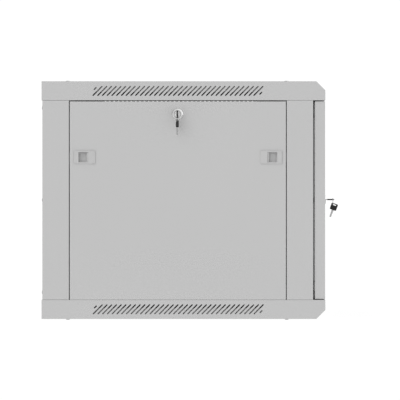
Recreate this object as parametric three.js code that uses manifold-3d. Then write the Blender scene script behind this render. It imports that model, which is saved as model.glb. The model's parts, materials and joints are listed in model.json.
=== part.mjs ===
// Wall-mounted network server rack cabinet, nine rack units high, for 19-inch equipment.
// Millimetres, +Z up. The front (door side) faces -Y, the wall side faces +Y, "left" is -X as seen
// from the front. The origin is at the middle of the floor plate's underside.
// The cabinet is modelled unlocked and unlatched: cams parked, latch tongues just clear of the posts.
import * as THREE from "three";
import { mergeVertices } from "three/addons/utils/BufferGeometryUtils.js";
import Module from "manifold-3d";

const wasm = await Module();
wasm.setup();

// ---------------------------------------------------------------- driving dimensions
const WIDTH = 600;
const DEPTH = 600;
const HEIGHT = 502.6;
const SHEET = 1.2; // folded sheet steel
const GAP = 0.3; // assembly gap between two pieces that meet
const HALF_W = WIDTH / 2;
const REAR = DEPTH / 2; // Y of the caps' rear faces, which lie on the wall
const FRONT = -DEPTH / 2; // Y of the caps' front faces

// roof and floor caps, measured inwards from their outer plates
const CAP_H = 40.3;
const CHAMFER = 19; // 45 degree bevel along the front edge
const LIP = 15; // inward return of the side flanges
const STOP = 13; // flange turned down behind the door, which its seal closes on
const STOP_X = 275.4; // half width of that flange, between the front posts
const HEM = 10; // upturned edge of the return, which the side lock's cam hooks behind
const VENT_Y = { roof: [-158.4, 181.6], floor: [-159, 181] }; // middles of each row's end slots
const VENT_H = 20.5; // depth of the slots' middle line
const SLOT_PITCH = 10;
const SLOT_WIDTH = 2.8; // across the diagonal slot
const SLOT_REACH = 10.8; // of a full slot, each way from its middle
const DOT_REACH = 3.3; // of the short slot that ends the row
const DOT_INSET = 5; // of its middle, towards the row
const BAFFLE_X = [290, 291.2]; // drip baffle behind the slots' outer part
const BAFFLE_H = 22.5;

// corner posts
const POST_OUT = 298.3; // |Y| of the rear posts' outer face
const POST_FRONT = -274.1; // Y of the front posts' outer face
const POST_WALL = [-218.5, 242.2]; // Y of the walls that face the side panels
const POST_FLANGE = 24; // width of the front and rear flanges
const PANEL_LEDGE = 16; // depth behind the side plane of the ledge that the panel's edge faces
const LEDGE = 12.9; // width of that ledge
const POST_Z = [CAP_H + 0.5, HEIGHT - CAP_H - 0.5];
const SCREW_Y = [-218.5, 244.6]; // cap screws, over the posts' tabs
const SCREW_X = 290;
const SCREW_HOLE_R = 2.8;

// side panels
const PANEL_Y = [-216.6, 240.3];
const PANEL_Z = [40.7, 459.9];
const PANEL_FOLD = 12; // return flange
const PANEL_MID = (PANEL_Y[0] + PANEL_Y[1]) / 2;
const TAB_X = [293.9, 295.1]; // hooked tabs along the lower edge
const TAB_SLOT_X = [290.5, 297];
const TAB_LENGTH = 40;
const TAB_DEPTH = 12;
const TAB_OFFSET = 150; // of each tab from the panel's middle

// panel latches: u runs towards the post, v is up, w is out of the panel
const LATCH_OFFSET = 201.1;
const LATCH_Z = 342;
const BEZEL_U = [-26.5, 19.1];
const BEZEL_V = 13.8;
const CASE_U = [-25.3, 18.9];
const CASE_V = 12.4;
const CASE_DEPTH = 14.5;
const CHAMBER_U = [-24.1, 17.7];
const CHAMBER_V = 11.6;
const WINDOW_U = [-11.9, 9];
const WINDOW_V = 10.9;
const BOLT_U = [-17.6, 12]; // long enough to keep the window closed over the bolt's travel
const TONGUE_W = [-10, -5];
const TONGUE_V = 10;
const TONGUE_TIP = 28.7;
const TONGUE_SLOT_X = [289, 296]; // opening in the post that the tongue enters
const TONGUE_NOTCH_X = [289.5, 295.5]; // opening in the panel's return flange

// door
const DOOR_X = 297;
const DOOR_Y = [-299.7, -278];
const DOOR_Z = [42.3, 460.1];
const STILE = 52;
const DOOR_LIP = 20;
const GLASS_T = 4;
const HINGE_X = 289;
const HINGE_Y = -289.5;
const PIN_R = 3;
const PIN_Z = [426, 465.5]; // upper pin; the lower one mirrors it
const PIN_COLLAR_Z = [452, 454];
const PIN_LEVER_Z = [427, 431];
const BRACKET_Z = [439.6, 441.2];
const DOOR_LOCK_X = -266;
const DOOR_LOCK_Z = 252.5;
const SEAL_X = 293; // outer half width of the door seal
const SEAL_W = 8;

// cam locks, all in the lock's own frame: +Z out of the panel, +Y up
const SIDE_LOCK = { head: 12.5, headH: 2.5, barrel: 9.5, length: 15, plug: 7, cam: 38, strip: [0, -5.75] };
const DOOR_LOCK = { head: 10, headH: 2.3, barrel: 8, length: 27, plug: 5.8, cam: 24, strip: [-5.75, 0] };
const SIDE_LOCK_Y = 12.9;
const SIDE_LOCK_Z = 432.5;
const KEY = { width: 14, bow: 13.6, thick: 2.8, neck: 0.9, blade: 16.5, bladeW: 5, bladeT: 1.8, out: 5.8 };
const KEY_HOLE = { width: 8.4, height: 2.2, rim: 2 };
const RING_R = 6.7;
const WIRE_R = 0.5;
const RING_DROP = 3.7; // ring centre from the bow's side strip, which it hangs on

// 19-inch equipment rails
const BAY_X = 225; // half the clear width between the rails
const RAIL_GAP = 0.5;
const RAIL_SHEET = 1.8;
const RAIL_Z = [46, 455];
const RAIL_Y = [-215, 235]; // faces of the front and rear rails
const HOLE_X = 232.55; // half of the 465.1 mm hole spacing
const HOLE = 9.5;
const UNIT = 44.45;
const UNIT_HOLES = [6.35, 22.225, 38.1];
const UNITS = 9;
const BAY_Z = 50.5;
const CROSS_X = [269.3, 282.5]; // depth rails that carry the equipment rails
const CROSS_Y = [-232, 258];
const CROSS_Z = { lower: 105, upper: 395 };

// ---------------------------------------------------------------- materials
const surface = (color, roughness, metalness) =>
  new THREE.MeshStandardMaterial({ color, roughness, metalness, flatShading: true });
const paint = surface(0xc4c5c6, 0.55, 0.1);
const zinc = surface(0xb4b6b8, 0.4, 0.9);
const chrome = surface(0xd8dadc, 0.15, 1);
const nickel = surface(0xb9b8b2, 0.3, 1);
const greyPlastic = surface(0xb5b6b7, 0.5, 0);
const blackPlastic = surface(0x161617, 0.45, 0);
const rubber = surface(0x909191, 0.9, 0);
const glass = surface(0x5c666a, 0.08, 0);

// ---------------------------------------------------------------- solids
// A closed geometry as a solid. Corners that touch are merged and slivers at a pole dropped.
function solid(geometry) {
  geometry.deleteAttribute("normal");
  geometry.deleteAttribute("uv");
  const merged = mergeVertices(geometry, 1e-4);
  const corners = merged.index.array;
  const faces = [];
  for (let i = 0; i < corners.length; i += 3) {
    const [a, b, c] = [corners[i], corners[i + 1], corners[i + 2]];
    if (a !== b && b !== c && c !== a) faces.push(a, b, c);
  }
  const vertProperties = merged.attributes.position.array;
  return new wasm.Manifold(
    new wasm.Mesh({ numProp: 3, vertProperties, triVerts: new Uint32Array(faces) }),
  );
}

const span = (a, b) => [Math.min(a, b), Math.max(a, b)];

// A block between two values on each axis, given in any order.
function block(x, y, z) {
  const [[x0, x1], [y0, y1], [z0, z1]] = [span(...x), span(...y), span(...z)];
  const geometry = new THREE.BoxGeometry(x1 - x0, y1 - y0, z1 - z0);
  return solid(geometry.translate((x0 + x1) / 2, (y0 + y1) / 2, (z0 + z1) / 2));
}

// An outline extruded along an axis. Its points are (y, z) for x, (x, z) for y and (x, y) for z.
function prism(axis, outline, from, to) {
  const [a, b] = span(from, to);
  const points = outline.map(([p, q]) => (axis === "y" ? [q, p] : [p, q]));
  const shape = new THREE.Shape(points.map(([p, q]) => new THREE.Vector2(p, q)));
  const geometry = new THREE.ExtrudeGeometry(shape, { depth: b - a, bevelEnabled: false });
  const [X, Y, Z] = [[1, 0, 0], [0, 1, 0], [0, 0, 1]].map((v) => new THREE.Vector3(...v));
  const frames = { x: [Y, Z, X], y: [Z, X, Y], z: [X, Y, Z] };
  geometry.translate(0, 0, a);
  geometry.applyMatrix4(new THREE.Matrix4().makeBasis(...frames[axis]));
  return solid(geometry);
}

function circle(radius, [p, q] = [0, 0], sides = 24) {
  return Array.from({ length: sides }, (_, i) => {
    const angle = ((i + 0.5) / sides) * 2 * Math.PI;
    return [p + radius * Math.cos(angle), q + radius * Math.sin(angle)];
  });
}

const rod = (axis, radius, centre, from, to, sides = 24) =>
  prism(axis, circle(radius, centre, sides), from, to);

// The outline of a folded strip: the path is its outer line, and the sheet lies on the path's right.
function folded(path, thick) {
  const side = (a, b) => {
    const length = Math.hypot(b[0] - a[0], b[1] - a[1]);
    return [(b[1] - a[1]) / length, (a[0] - b[0]) / length];
  };
  const inner = path.map((point, i) => {
    const before = i > 0 ? side(path[i - 1], point) : side(point, path[1]);
    const after = i < path.length - 1 ? side(point, path[i + 1]) : before;
    const scale = thick / (1 + before[0] * after[0] + before[1] * after[1]);
    return [0, 1].map((k) => point[k] + scale * (before[k] + after[k]));
  });
  return [...path, ...inner.reverse()];
}

const across = (hand, outline) => outline.map(([p, q]) => [hand * p, q]);
const about = (middle, size) => [middle - size / 2, middle + size / 2];
const pair = (hand, range) => range.map((value) => hand * value);
const join = (...solids) => solids.reduce((sum, one) => sum.add(one));
const cut = (body, ...tools) => tools.reduce((rest, tool) => rest.subtract(tool), body);

// The solid as a named mesh.
function piece(name, body, material) {
  const mesh = body.getMesh();
  const geometry = new THREE.BufferGeometry();
  geometry.setAttribute("position", new THREE.BufferAttribute(mesh.vertProperties, 3));
  geometry.setIndex(new THREE.BufferAttribute(mesh.triVerts, 1));
  geometry.computeVertexNormals();
  const made = new THREE.Mesh(geometry, material);
  made.name = name;
  return made;
}

const cabinet = new THREE.Group();
const place = (name, body, material) => cabinet.add(piece(name, body, material));

// ---------------------------------------------------------------- roof and floor caps
// Height above the floor for a distance in from the roof's or the floor's outer plate.
const capLevel = { roof: (h) => HEIGHT - h, floor: (h) => h };

// The caps' section in Y and depth h, moved inwards from the outer skin.
function capSection(inset, openBy) {
  const slope = inset * (Math.SQRT2 - 1);
  return [
    [REAR - inset, CAP_H + openBy],
    [REAR - inset, inset],
    [FRONT + CHAMFER + slope, inset],
    [FRONT + inset, CHAMFER + slope],
    [FRONT + inset, CAP_H + openBy],
  ];
}

// A diagonal slot with rounded ends that leans forwards as it rises, through both side flanges.
function ventSlot(y, z, reach) {
  const end = reach - SLOT_WIDTH / 2;
  const outline = [0, 1].flatMap((tip) =>
    [-90, -30, 30, 90].map((turn) => {
      const angle = THREE.MathUtils.degToRad(135 + 180 * tip + turn);
      const way = tip === 0 ? 1 : -1;
      return [
        y - way * end + (SLOT_WIDTH / 2) * Math.cos(angle),
        z + way * end + (SLOT_WIDTH / 2) * Math.sin(angle),
      ];
    }),
  );
  return prism("x", outline, -HALF_W - 1, HALF_W + 1);
}

// A row of full slots, with a short slot on the next slot's line at each end.
function ventRow(end) {
  const z = capLevel[end](VENT_H);
  const [first, last] = VENT_Y[end];
  const slots = [];
  for (let y = first; y <= last; y += SLOT_PITCH) slots.push(ventSlot(y, z, SLOT_REACH));
  slots.push(ventSlot(first - SLOT_PITCH + DOT_INSET, z - DOT_INSET, DOT_REACH));
  slots.push(ventSlot(last + SLOT_PITCH - DOT_INSET, z + DOT_INSET, DOT_REACH));
  return join(...slots);
}

function capShell(end) {
  const level = capLevel[end];
  const section = (inset, openBy) => capSection(inset, openBy).map(([y, h]) => [y, level(h)]);
  const lipZ = [CAP_H - SHEET, CAP_H].map(level);
  const ledgeY = POST_FRONT;
  const throughX = [-HALF_W + SHEET / 2, HALF_W - SHEET / 2];
  let shell = cut(
    prism("x", section(0, 0), -HALF_W, HALF_W),
    prism("x", section(SHEET, 1), -HALF_W + SHEET, HALF_W - SHEET),
    cut(ventRow(end), block([-HALF_W + 2, HALF_W - 2], [FRONT, REAR], [0, HEIGHT])),
  );
  shell = join(
    shell,
    block(throughX, [REAR - LIP, REAR - SHEET / 2], lipZ),
    block(throughX, [FRONT + SHEET / 2, ledgeY], lipZ),
    block([-STOP_X, STOP_X], [ledgeY, ledgeY + SHEET], [CAP_H - SHEET, CAP_H + STOP].map(level)),
  );
  for (const hand of [-1, 1]) {
    shell = join(
      shell,
      block(pair(hand, [HALF_W - LIP, HALF_W - SHEET / 2]), [FRONT + 1, REAR - 1], lipZ),
      block(
        pair(hand, [HALF_W - LIP, HALF_W - LIP + SHEET]),
        [ledgeY + SHEET, REAR - LIP],
        [CAP_H - HEM, CAP_H].map(level),
      ),
      block(
        pair(hand, BAFFLE_X),
        [VENT_Y[end][0] - 1.5 * SLOT_PITCH, VENT_Y[end][1] + 1.5 * SLOT_PITCH],
        [SHEET / 2, BAFFLE_H].map(level),
      ),
    );
    const pinHole = [CAP_H - 3, CAP_H + 3].map(level);
    shell = cut(shell, rod("z", PIN_R + GAP, [hand * HINGE_X, HINGE_Y], ...pinHole, 16));
    for (const y of SCREW_Y) {
      shell = cut(shell, rod("z", SCREW_HOLE_R, [hand * SCREW_X, y], level(-1), level(3), 12));
    }
  }
  return shell;
}

const CABLE_ENTRY_X = 130;
const CABLE_ENTRY_Y = [205, 255];

function cableEntry(level) {
  return block([-CABLE_ENTRY_X, CABLE_ENTRY_X], CABLE_ENTRY_Y, [-1, 3].map(level));
}

// A round field of straight slots over one fan, with the fan's four screw holes.
function fanField(x, level) {
  const radius = 55;
  const pitch = 12;
  const slotWidth = 4;
  const screwOffset = 52.5;
  const through = [-1, 3].map(level);
  const tools = [];
  for (let i = -4; i <= 4; i++) {
    const y = i * pitch;
    const half = Math.sqrt(radius ** 2 - y ** 2);
    tools.push(block([x - half, x + half], [y - slotWidth / 2, y + slotWidth / 2], through));
  }
  for (const dx of [-screwOffset, screwOffset]) {
    for (const dy of [-screwOffset, screwOffset]) {
      tools.push(rod("z", 2.2, [x + dx, dy], ...through, 8));
    }
  }
  return tools;
}

function roofCap() {
  const fans = [-90, 90].flatMap((x) => fanField(x, capLevel.roof));
  return cut(capShell("roof"), cableEntry(capLevel.roof), ...fans);
}

// The floor cap also takes the side panels' tabs, and has a coined line round its base area.
function floorCap() {
  const tools = [cableEntry(capLevel.floor)];
  for (const hand of [-1, 1]) {
    for (const offset of [-TAB_OFFSET, TAB_OFFSET]) {
      const y = about(PANEL_MID + offset, TAB_LENGTH + 2);
      tools.push(block(pair(hand, TAB_SLOT_X), y, [CAP_H - 3, CAP_H + 1]));
    }
  }
  const line = 1.5;
  const depth = 0.4;
  const baseX = [-160, 150];
  const baseY = [-170, 160];
  tools.push(
    cut(
      block([baseX[0] - line, baseX[1] + line], [baseY[0] - line, baseY[1] + line], [-1, depth]),
      block(baseX, baseY, [-2, depth + 1]),
    ),
  );
  return cut(capShell("floor"), ...tools);
}

// A tray with two turned edges that closes a cable entry from inside.
function cableCover(end) {
  const level = capLevel[end];
  const near = SHEET + GAP;
  const overlap = 8;
  const turnedEdge = 8;
  const [y0, y1] = [CABLE_ENTRY_Y[0] - overlap, CABLE_ENTRY_Y[1] + overlap];
  const reach = CABLE_ENTRY_X + overlap;
  const tray = join(
    block([-reach, reach], [y0, y1], [near, near + SHEET].map(level)),
    block([-reach, reach], [y0, y0 + SHEET], [near, near + turnedEdge].map(level)),
    block([-reach, reach], [y1 - SHEET, y1], [near, near + turnedEdge].map(level)),
  );
  const round = [-60, 0, 60].map((x) =>
    rod("z", 12, [x, (y0 + y1) / 2], level(near - 0.5), level(near + 0.5), 16),
  );
  return cut(tray, ...round);
}

// ---------------------------------------------------------------- posts, back and depth rails
// A folded corner post with a neck and a threaded tab at each end, inside the caps.
function post(hand, end) {
  const rear = end === "rear";
  const wallY = POST_WALL[rear ? 1 : 0];
  const outerY = rear ? POST_OUT : POST_FRONT;
  const away = rear ? 1 : -1;
  const ledgeX = HALF_W - PANEL_LEDGE;
  const ledgeY = wallY - away * LEDGE;
  const outline = folded(
    [
      [HALF_W - POST_FLANGE, away * outerY],
      [HALF_W, away * outerY],
      [HALF_W, away * wallY],
      [ledgeX, away * wallY],
      [ledgeX, away * ledgeY],
    ],
    SHEET,
  ).map(([x, y]) => [hand * x, away * y]);
  const screwY = SCREW_Y[rear ? 1 : 0];
  const tabDepth = SHEET + GAP;
  let body = join(
    prism("z", outline, ...POST_Z),
    block(pair(hand, [ledgeX - SHEET, ledgeX]), [ledgeY, wallY], [tabDepth, HEIGHT - tabDepth]),
  );
  for (const level of Object.values(capLevel)) {
    const tab = [tabDepth, tabDepth + SHEET].map(level);
    body = join(body, block(pair(hand, [ledgeX - SHEET, HALF_W - 3]), about(screwY, 16), tab));
    body = cut(body, rod("z", SCREW_HOLE_R, [hand * SCREW_X, screwY], level(0), level(5), 12));
  }
  const slot = block(
    pair(hand, TONGUE_SLOT_X),
    about(wallY + away * (SHEET / 2), 2),
    about(LATCH_Z, 2 * TONGUE_V + 3),
  );
  return cut(body, slot);
}

// The back panel, with keyholes for the wall hooks and a knock-out for cables.
function backPanel() {
  const y = [295.6, 295.6 + SHEET];
  const through = [y[0] - 1, y[1] + 1];
  const keyhole = { x: 200, z: [110, 410], entry: 8, neck: 8, rise: 18 };
  const tools = [];
  for (const x of [-keyhole.x, keyhole.x]) {
    for (const z of keyhole.z) {
      tools.push(rod("y", keyhole.entry, [x, z], ...through, 16));
      tools.push(block(about(x, keyhole.neck), through, [z, z + keyhole.rise]));
    }
  }
  const knock = { x: 140, z: [190, 260], slit: 1.6, bridge: 14 };
  for (const z of knock.z) {
    for (const hand of [-1, 1]) {
      const x = pair(hand, [knock.bridge, knock.x - knock.bridge]);
      tools.push(block(x, through, about(z, knock.slit)));
    }
  }
  for (const x of [-knock.x, knock.x]) {
    const z = [knock.z[0] + knock.bridge, knock.z[1] - knock.bridge];
    tools.push(block(about(x, knock.slit), through, z));
  }
  return cut(block([-295, 295], y, [41.8, 460.8]), ...tools);
}

function depthRail(hand, z) {
  const half = 15;
  const lip = 8;
  const [inner, outer] = CROSS_X;
  const outline = folded(
    [
      [inner, z + half - lip],
      [inner, z + half],
      [outer, z + half],
      [outer, z - half],
      [inner, z - half],
      [inner, z - half + lip],
    ],
    SHEET,
  );
  return prism("y", across(hand, outline), ...CROSS_Y);
}

// ---------------------------------------------------------------- equipment rails
// A folded rail with three square holes for each rack unit. Its legs run into the bay's depth.
function mountingRail(hand, end) {
  const face = RAIL_Y[end === "rear" ? 1 : 0];
  const inwards = end === "rear" ? -1 : 1;
  const web = 252;
  const leg = CROSS_X[0] - 0.4;
  const outline = folded(
    [
      [leg, 44],
      [leg, 24],
      [web, 24],
      [web, 0],
      [BAY_X + RAIL_GAP, 0],
    ],
    RAIL_SHEET,
  ).map(([x, y]) => [hand * x, face + inwards * y]);
  let rail = prism("z", outline, ...RAIL_Z);
  for (let unit = 0; unit < UNITS; unit++) {
    for (const height of UNIT_HOLES) {
      const z = BAY_Z + unit * UNIT + height;
      rail = cut(rail, block(about(hand * HOLE_X, HOLE), about(face, 6), about(z, HOLE)));
    }
  }
  return rail;
}

// ---------------------------------------------------------------- side panels and latches
const latchCentres = { front: PANEL_MID - LATCH_OFFSET, rear: PANEL_MID + LATCH_OFFSET };

function sidePanel(hand) {
  const fold = [HALF_W - PANEL_FOLD, HALF_W];
  const [y0, y1] = PANEL_Y;
  const [z0, z1] = PANEL_Z;
  let panel = cut(
    block(pair(hand, fold), PANEL_Y, PANEL_Z),
    block(
      pair(hand, [fold[0] - 1, HALF_W - SHEET]),
      [y0 + SHEET, y1 - SHEET],
      [z0 + SHEET, z1 - SHEET],
    ),
    rod("x", SIDE_LOCK.barrel + GAP, [SIDE_LOCK_Y, SIDE_LOCK_Z], hand * 290, hand * 310),
  );
  for (const offset of [-TAB_OFFSET, TAB_OFFSET]) {
    const y = about(PANEL_MID + offset, TAB_LENGTH);
    panel = join(panel, block(pair(hand, TAB_X), y, [z0 - TAB_DEPTH, z0 + SHEET / 2]));
  }
  for (const [end, away] of [["front", -1], ["rear", 1]]) {
    const mid = latchCentres[end];
    const u = CASE_U.map((value) => mid + away * (value + Math.sign(value) * GAP));
    const edge = away > 0 ? y1 : y0;
    panel = cut(
      panel,
      block(about(hand * HALF_W, 6), u, about(LATCH_Z, 2 * (CASE_V + GAP))),
      block(pair(hand, TONGUE_NOTCH_X), about(edge, 6), about(LATCH_Z, 2 * TONGUE_V + 2)),
    );
  }
  return panel;
}

// The latch's fixed case, in its own frame with the post towards hand * X.
function latchCase(hand) {
  const bezelW = [0.2, 1.8];
  return cut(
    join(
      block(pair(hand, CASE_U), [-CASE_V, CASE_V], [-CASE_DEPTH, 0.4]),
      block(pair(hand, BEZEL_U), [-BEZEL_V, BEZEL_V], bezelW),
    ),
    block(pair(hand, CHAMBER_U), [-CHAMBER_V, CHAMBER_V], [SHEET - CASE_DEPTH, 0]),
    block(pair(hand, WINDOW_U), [-WINDOW_V, WINDOW_V], [-1, 3]),
    block(pair(hand, [17, 20]), [-TONGUE_V - 0.5, TONGUE_V + 0.5], [TONGUE_W[0] - 0.5, TONGUE_W[1] + 0.5]),
  );
}

// The sliding bolt: a body with a finger cup, and the tongue that enters the post.
function latchBolt(hand) {
  const cup = { u: [-8.7, 8.7], v: 10.3, floor: -7.5 };
  const bodyW = [-10.4, -0.4];
  return cut(
    join(
      block(pair(hand, BOLT_U), [-11.3, 11.3], bodyW),
      block(pair(hand, [8, TONGUE_TIP]), [-TONGUE_V, TONGUE_V], TONGUE_W),
    ),
    block(pair(hand, cup.u), [-cup.v, cup.v], [cup.floor, 1]),
  );
}

// ---------------------------------------------------------------- cam locks and keys
// Everything here is in the lock's own frame: the panel's face is at z = 0 and +Z points out.
function lockHousing(lock) {
  const shell = join(
    rod("z", lock.head, [0, 0], 0.2, lock.headH),
    rod("z", lock.barrel, [0, 0], -lock.length, 0.3, 20),
  );
  return cut(shell, rod("z", lock.plug + GAP, [0, 0], -lock.length - 1, lock.headH + 1, 20));
}

const CAM_BORE = 3.8;

const turned = (body, turn) => body.rotate([0, 0, turn]);

function lockPlug(lock, keyTurn) {
  const back = -lock.length - 0.5;
  const keyway = block(
    about(0, KEY.bladeW + 2 * GAP),
    about(0, KEY.bladeT + 2 * GAP),
    [KEY.out - KEY.blade - 0.6, lock.headH + 1],
  );
  return cut(
    join(
      rod("z", lock.plug, [0, 0], back, lock.headH - 0.4, 20),
      rod("z", CAM_BORE - GAP, [0, 0], back - 3, back + 0.5, 16),
      rod("z", CAM_BORE + 1, [0, 0], back - 4.2, back - 2.4, 6),
    ),
    turned(keyway, keyTurn),
  );
}

// The cam plate, pointing to +X while the lock is open.
function lockCam(lock, camTurn) {
  const half = 6;
  const z = [-lock.length - 2.6, -lock.length - 0.8];
  const arm = join(
    rod("z", half + 1, [0, 0], ...z),
    block([0, lock.cam - 2], [-half, half], z),
    block([lock.cam - 3, lock.cam], [-half + 1.5, half - 1.5], z),
  );
  return turned(cut(arm, rod("z", CAM_BORE, [0, 0], z[0] - 1, z[1] + 1, 16)), camTurn);
}

// A key with its bow towards +Z, its width along X, and z = 0 at the bow's shoulder.
function keyBody() {
  const half = KEY.width / 2;
  const corner = 3;
  const [low, high] = [KEY.neck, KEY.neck + KEY.bow];
  const bow = [
    [-half, low + corner],
    [-half + corner, low],
    [half - corner, low],
    [half, low + corner],
    [half, high - corner],
    [half - corner, high],
    [corner - half, high],
    [-half, high - corner],
  ];
  const holeTop = high - KEY_HOLE.rim;
  const tip = 3;
  const blade = [
    [-KEY.bladeW / 2, 1],
    [-KEY.bladeW / 2, tip - KEY.blade],
    [0, -KEY.blade],
    [KEY.bladeW / 2, tip - KEY.blade],
    [KEY.bladeW / 2, 1],
  ];
  return cut(
    join(
      prism("y", bow, -KEY.thick / 2, KEY.thick / 2),
      block(about(0, 8), about(0, KEY.thick), [0, low + 1]),
      prism("y", blade, -KEY.bladeT / 2, KEY.bladeT / 2),
    ),
    block(about(0, KEY_HOLE.width), about(0, 6), [holeTop - KEY_HOLE.height, holeTop]),
  );
}

const KEY_TOP = KEY.neck + KEY.bow;
const RING_OUT = KEY.out + KEY_TOP - KEY_HOLE.rim - KEY_HOLE.height / 2;

function keyRing() {
  return solid(new THREE.TorusGeometry(RING_R, WIRE_R, 5, 20));
}

// A split ring hung on the bow's strip, leaning outwards, with the spare key's hole on its wire.
// The spare key hangs with its bow up; spin turns its face, lean tilts it back towards the panel
// and slide moves it along its own width.
function hangingSet(prefix, lock, { ringLean, spin, lean, slide }) {
  const strip = new THREE.Group();
  strip.position.set(lock.strip[0], lock.strip[1], RING_OUT);
  strip.rotation.x = -ringLean;
  const ring = piece(`${prefix}_key_ring`, keyRing(), nickel);
  ring.position.y = -RING_DROP;
  const wire = new THREE.Group();
  wire.position.y = -RING_DROP - RING_R + 2 * WIRE_R;
  wire.rotation.x = ringLean + lean;
  const spare = piece(`${prefix}_spare_key`, keyBody(), blackPlastic);
  const along = new THREE.Vector3(Math.sin(spin), 0, Math.cos(spin));
  const normal = new THREE.Vector3(Math.cos(spin), 0, -Math.sin(spin));
  const upright = new THREE.Matrix4().makeBasis(along, normal, new THREE.Vector3(0, 1, 0));
  spare.quaternion.setFromRotationMatrix(upright);
  spare.position.copy(along).multiplyScalar(slide).setY(KEY_HOLE.rim - KEY_TOP);
  wire.add(spare);
  strip.add(ring, wire);
  return strip;
}

// One lock with its key and hanging spare, placed with its +Z along outward.
function lockSet(prefix, lock, { position, outward, keyTurn, camTurn, hanging }) {
  const set = new THREE.Group();
  const up = new THREE.Vector3(0, 0, 1);
  const right = new THREE.Vector3().crossVectors(up, outward);
  set.quaternion.setFromRotationMatrix(new THREE.Matrix4().makeBasis(right, up, outward));
  set.position.copy(position);
  const key = piece(`${prefix}_key`, turned(keyBody(), keyTurn), blackPlastic);
  key.position.z = KEY.out;
  set.add(
    piece(`${prefix}_lock_housing`, lockHousing(lock), chrome),
    piece(`${prefix}_lock_plug`, lockPlug(lock, keyTurn), nickel),
    piece(`${prefix}_lock_cam`, lockCam(lock, camTurn), zinc),
    key,
    hangingSet(prefix, lock, hanging),
  );
  cabinet.add(set);
}

// ---------------------------------------------------------------- door
// Heights of the upper hinge pin's parts, kept or mirrored for the lower pin.
const pinLevel = { upper: (z) => z, lower: (z) => HEIGHT - z };

function doorFrame() {
  const [y0, y1] = DOOR_Y;
  const [z0, z1] = DOOR_Z;
  const windowX = DOOR_X - STILE;
  const windowZ = [z0 + 45, z1 - 45];
  let frame = cut(
    block([-DOOR_X, DOOR_X], DOOR_Y, DOOR_Z),
    block(
      [-DOOR_X + SHEET, DOOR_X - SHEET],
      [y0 + SHEET, y1 - SHEET],
      [z0 + SHEET, z1 - SHEET],
    ),
    block([-DOOR_X + DOOR_LIP, DOOR_X - DOOR_LIP], [y1 - 3, y1 + 1], [z0 + DOOR_LIP, z1 - DOOR_LIP]),
    block([-windowX, windowX], [y0 - 1, y0 + 3], windowZ),
    rod("y", DOOR_LOCK.barrel + GAP, [DOOR_LOCK_X, DOOR_LOCK_Z], y0 - 1, y0 + 3),
  );
  for (const mirrored of Object.values(pinLevel)) {
    const z = BRACKET_Z.map(mirrored);
    frame = join(frame, block([HINGE_X - 9, DOOR_X - 0.5], [y0 + 0.5, y1 - 0.5], z));
  }
  return cut(frame, rod("z", PIN_R + GAP, [HINGE_X, HINGE_Y], z0 - 1, z1 + 1, 16));
}

function doorGlass() {
  const x = DOOR_X - STILE + 7;
  const y = DOOR_Y[0] + SHEET + GAP;
  return block([-x, x], [y, y + GLASS_T], [DOOR_Z[0] + 38, DOOR_Z[1] - 38]);
}

// A soft frame-shaped seal on the back of the door.
function doorSeal() {
  const y = [DOOR_Y[1] + GAP, POST_FRONT - 0.6];
  const z = [DOOR_Z[0] + 2, DOOR_Z[1] - 2];
  return cut(
    block([-SEAL_X, SEAL_X], y, z),
    block(
      [-SEAL_X + SEAL_W, SEAL_X - SEAL_W],
      [y[0] - 1, y[1] + 1],
      [z[0] + SEAL_W, z[1] - SEAL_W],
    ),
  );
}

// A sprung hinge pin with a stop collar between its bracket and the cap, and a finger lever.
function hingePin(end) {
  const at = [HINGE_X, HINGE_Y];
  const collarR = PIN_R + 1.8;
  const reach = 20;
  const [pin, collar, lever] = [PIN_Z, PIN_COLLAR_Z, PIN_LEVER_Z].map((z) => z.map(pinLevel[end]));
  return join(
    rod("z", PIN_R, at, ...pin, 16),
    rod("z", collarR, at, ...collar, 16),
    block([HINGE_X - reach, HINGE_X - 1], about(HINGE_Y, 3), lever),
  );
}

// ---------------------------------------------------------------- fasteners
function capScrew(hand, y, end) {
  const level = capLevel[end];
  const head = end === "roof" ? { r: 5.2, h: 1.4 } : { r: 4.25, h: 1.9 };
  const at = [hand * SCREW_X, y];
  return join(
    rod("z", head.r, at, level(-0.2), level(-head.h), 16),
    rod("z", 2.5, at, level(-0.5), level(7), 10),
  );
}

function earthStud() {
  const at = [-240, 200];
  return join(rod("z", 6, at, 1.5, 3.5, 6), rod("z", 3, at, 2, 18, 12), rod("z", 5.5, at, 8, 13, 6));
}

// ---------------------------------------------------------------- assembly
const HANDS = { left: -1, right: 1 };

place("top_cap", roofCap(), paint);
place("bottom_cap", floorCap(), paint);
place("roof_cable_cover", cableCover("roof"), paint);
place("floor_cable_cover", cableCover("floor"), paint);
place("back_panel", backPanel(), paint);
place("earth_stud", earthStud(), zinc);

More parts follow.
